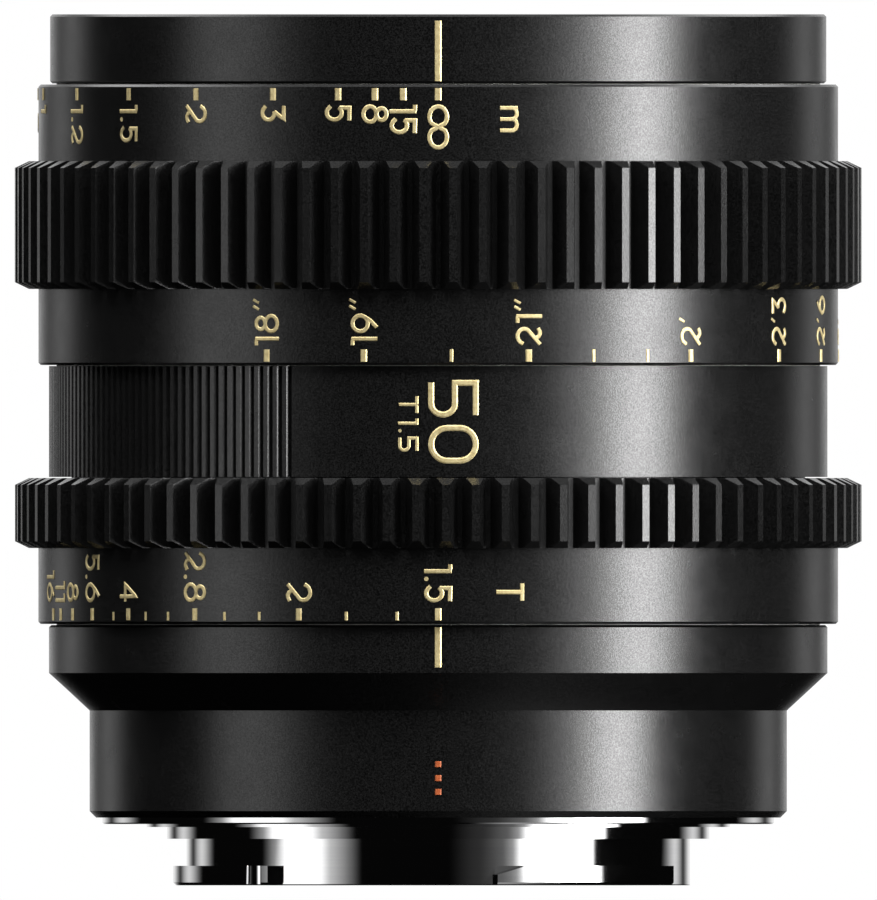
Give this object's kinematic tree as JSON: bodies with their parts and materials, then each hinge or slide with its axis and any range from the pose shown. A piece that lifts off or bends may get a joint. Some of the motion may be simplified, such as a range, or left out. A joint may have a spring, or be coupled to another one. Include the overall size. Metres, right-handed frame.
{
  "type": "cinema prime lens",
  "caption": "Fixed focal length cinema lens with toothed focus and iris rings, a sliding optical carriage, a bladed iris and a bayonet mount.",
  "frame": {"origin": "on the optical axis, in the flange plane where the lens seats on the camera", "axes": "+Z along the optical axis towards the front; the index marks face -Y; +X to the right of them"},
  "size_m": [0.072, 0.072, 0.0741],
  "materials": {
    "black_anodised": "fine blasted, black anodised, satin",
    "black_inner": "matt black anodised",
    "chrome": "hard chrome, polished",
    "steel": "blackened steel",
    "brass": "turned",
    "white_polymer": "smooth bearing plastic",
    "coated_glass": "polished and coated",
    "blade_black": "matt black coated spring steel",
    "gold_paint": "engraved and filled with pale gold paint",
    "orange_paint": "engraved and filled with orange paint"
  },
  "bodies": {
    "root": {"mount_ring": "chrome", "mount_screws": "steel", "flange_shim": "brass", "rear_baffle": "black_inner", "rear_housing": "black_anodised", "housing_screws": "steel", "guide_barrel": "black_anodised", "front_ring": "black_anodised", "front_ring_screws": "steel", "grip_sleeve": "black_anodised", "grip_sleeve_screws": "steel", "focus_washer_front": "white_polymer", "focus_washer_rear": "white_polymer", "iris_washer": "white_polymer", "focus_stop_block": "black_inner", "focus_stop_screw": "steel"},
    "focus_ring": {"focus_ring": "black_anodised", "cam_sleeve": "black_inner", "cam_screws": "steel"},
    "carriage": {"carriage": "black_inner", "cam_rollers": "brass", "roller_studs": "steel", "front_cell": "black_inner", "front_cell_screws": "steel", "beauty_ring": "black_inner", "front_retaining_ring": "black_inner", "front_spacer": "black_inner", "doublet_retaining_ring": "black_inner", "lens_1": "coated_glass", "lens_2": "coated_glass", "lens_3": "coated_glass", "lens_4": "coated_glass", "iris_base_plate": "black_inner", "iris_cover_ring": "black_inner", "rear_cell": "black_inner", "rear_cell_screws": "steel", "rear_doublet_ring": "black_inner", "rear_spacer": "black_inner", "rear_retaining_ring": "black_inner", "lens_5": "coated_glass", "lens_6": "coated_glass", "lens_7": "coated_glass", "lens_8": "coated_glass"},
    "iris_ring": {"iris_ring": "black_anodised", "iris_arm": "steel", "iris_arm_screws": "steel"},
    "iris_drive": {"iris_drive_ring": "brass", "iris_drive_pin": "steel"},
    "iris_blade_01": {"iris_blade_01": "blade_black"},
    "iris_blade_02": {"iris_blade_02": "blade_black"},
    "iris_blade_03": {"iris_blade_03": "blade_black"},
    "iris_blade_04": {"iris_blade_04": "blade_black"},
    "iris_blade_05": {"iris_blade_05": "blade_black"},
    "iris_blade_06": {"iris_blade_06": "blade_black"},
    "iris_blade_07": {"iris_blade_07": "blade_black"},
    "iris_blade_08": {"iris_blade_08": "blade_black"},
    "iris_blade_09": {"iris_blade_09": "blade_black"},
    "iris_blade_10": {"iris_blade_10": "blade_black"}
  },
  "joints": [
    {"name": "focus", "type": "hinge", "parent": "root", "child": "focus_ring", "pos_m": [0, 0, 0.0512], "axis": [0, 0, 1], "range_deg": [0, 205.5]},
    {"name": "carriage_slide", "type": "slide", "parent": "root", "child": "carriage", "axis": [0, 0, 1], "range_m": [0, 0.00729]},
    {"name": "iris", "type": "hinge", "parent": "root", "child": "iris_ring", "pos_m": [0, 0, 0.0235], "axis": [0, 0, 1], "range_deg": [0, 74.5]},
    {"name": "iris_drive_turn", "type": "hinge", "parent": "carriage", "child": "iris_drive", "pos_m": [0, 0, 0.0327], "axis": [0, 0, 1], "range_deg": [0, 74.6]},
    {"name": "iris_blade_01_pivot", "type": "hinge", "parent": "carriage", "child": "iris_blade_01", "pos_m": [-0.01959, -0.00068, 0.0302], "axis": [0, 0, 1], "range_deg": [0, 34]},
    {"name": "iris_blade_02_pivot", "type": "hinge", "parent": "carriage", "child": "iris_blade_02", "pos_m": [-0.01544, -0.01207, 0.0302], "axis": [0, 0, 1], "range_deg": [0, 34]},
    {"name": "iris_blade_03_pivot", "type": "hinge", "parent": "carriage", "child": "iris_blade_03", "pos_m": [-0.0054, -0.01884, 0.0302], "axis": [0, 0, 1], "range_deg": [0, 34]},
    {"name": "iris_blade_04_pivot", "type": "hinge", "parent": "carriage", "child": "iris_blade_04", "pos_m": [0.0067, -0.01842, 0.0302], "axis": [0, 0, 1], "range_deg": [0, 34]},
    {"name": "iris_blade_05_pivot", "type": "hinge", "parent": "carriage", "child": "iris_blade_05", "pos_m": [0.01625, -0.01096, 0.0302], "axis": [0, 0, 1], "range_deg": [0, 34]},
    {"name": "iris_blade_06_pivot", "type": "hinge", "parent": "carriage", "child": "iris_blade_06", "pos_m": [0.01959, 0.00068, 0.0302], "axis": [0, 0, 1], "range_deg": [0, 34]},
    {"name": "iris_blade_07_pivot", "type": "hinge", "parent": "carriage", "child": "iris_blade_07", "pos_m": [0.01544, 0.01207, 0.0302], "axis": [0, 0, 1], "range_deg": [0, 34]},
    {"name": "iris_blade_08_pivot", "type": "hinge", "parent": "carriage", "child": "iris_blade_08", "pos_m": [0.0054, 0.01884, 0.0302], "axis": [0, 0, 1], "range_deg": [0, 34]},
    {"name": "iris_blade_09_pivot", "type": "hinge", "parent": "carriage", "child": "iris_blade_09", "pos_m": [-0.0067, 0.01842, 0.0302], "axis": [0, 0, 1], "range_deg": [0, 34]},
    {"name": "iris_blade_10_pivot", "type": "hinge", "parent": "carriage", "child": "iris_blade_10", "pos_m": [-0.01625, 0.01096, 0.0302], "axis": [0, 0, 1], "range_deg": [0, 34]}
  ],
  "couplings": [
    {"joint": "focus", "follows": "carriage_slide", "rad_per_m": 491.67},
    {"joint": "iris_drive_turn", "follows": "iris", "ratio": 1},
    {"joint": "iris_blade_01_pivot", "follows": "iris", "ratio": 0.45503},
    {"joint": "iris_blade_02_pivot", "follows": "iris", "ratio": 0.45503},
    {"joint": "iris_blade_03_pivot", "follows": "iris", "ratio": 0.45503},
    {"joint": "iris_blade_04_pivot", "follows": "iris", "ratio": 0.45503},
    {"joint": "iris_blade_05_pivot", "follows": "iris", "ratio": 0.45503},
    {"joint": "iris_blade_06_pivot", "follows": "iris", "ratio": 0.45503},
    {"joint": "iris_blade_07_pivot", "follows": "iris", "ratio": 0.45503},
    {"joint": "iris_blade_08_pivot", "follows": "iris", "ratio": 0.45503},
    {"joint": "iris_blade_09_pivot", "follows": "iris", "ratio": 0.45503},
    {"joint": "iris_blade_10_pivot", "follows": "iris", "ratio": 0.45503}
  ]
}
